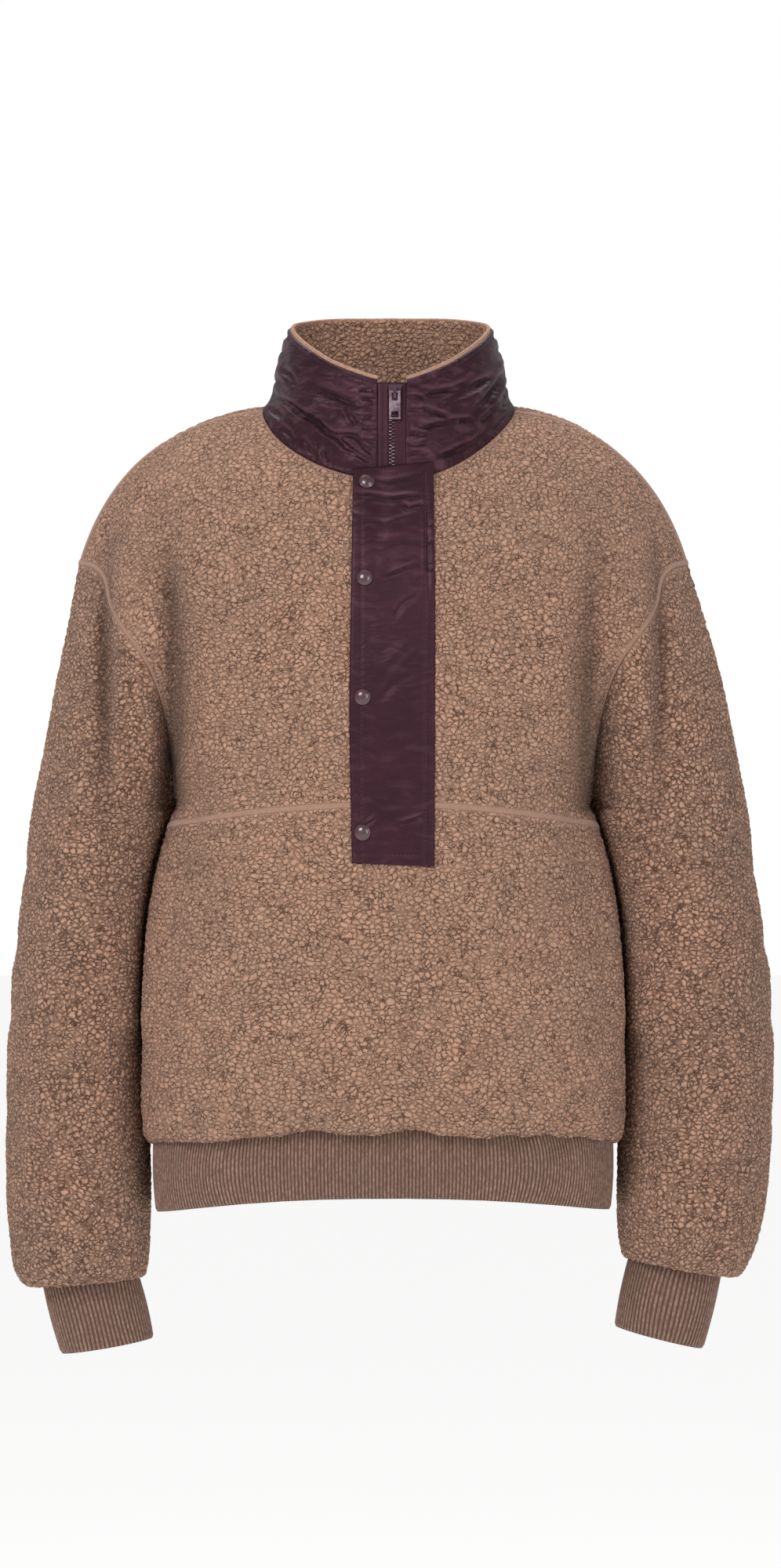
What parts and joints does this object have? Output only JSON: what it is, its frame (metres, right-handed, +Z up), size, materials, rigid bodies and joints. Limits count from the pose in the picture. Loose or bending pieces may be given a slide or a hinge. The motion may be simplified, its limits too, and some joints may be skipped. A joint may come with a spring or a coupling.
{
  "type": "half-zip fleece pullover",
  "caption": "Long-sleeved high-pile fleece pullover in worn form, with a woven stand collar, a half zip under a snap placket, and ribbed hem and cuffs.",
  "frame": {"origin": "middle of the neck's base, level with the shoulder line at the neck and halfway between front and back, where the wearer's shoulders hold the garment", "axes": "+Z up along the wearer's body, -Y out of the front, +X towards the viewer's right as seen from the front"},
  "size_m": [0.592, 0.2999, 0.8021],
  "materials": {
    "fleece": "matte curly high pile",
    "rib_knit": "matte ribbed knit",
    "nylon": "crinkled woven nylon with a low sheen",
    "tape": "matte woven tape",
    "zip_metal": "tinted satin metal",
    "snap": "glossy enamel"
  },
  "bodies": {
    "garment": {"front_upper_left": "fleece", "front_upper_right": "fleece", "front_lower": "fleece", "back": "fleece", "sleeve_left": "fleece", "sleeve_right": "fleece", "cuff_left": "rib_knit", "cuff_right": "rib_knit", "hem_band": "rib_knit", "collar_shell": "nylon", "collar_lining": "fleece", "placket_flap": "nylon", "zip_tape": "tape", "zip_chain": "zip_metal", "zip_slider": "zip_metal", "snap_1": "snap", "snap_2": "snap", "snap_3": "snap", "snap_4": "snap"},
    "zip_pull": {"zip_pull": "zip_metal"}
  },
  "joints": [
    {"name": "zip_pull_swing", "type": "hinge", "parent": "garment", "child": "zip_pull", "pos_m": [0.00325, -0.09463, 0.01057], "axis": [-1, 0, 0], "range_deg": [0, 150]}
  ]
}
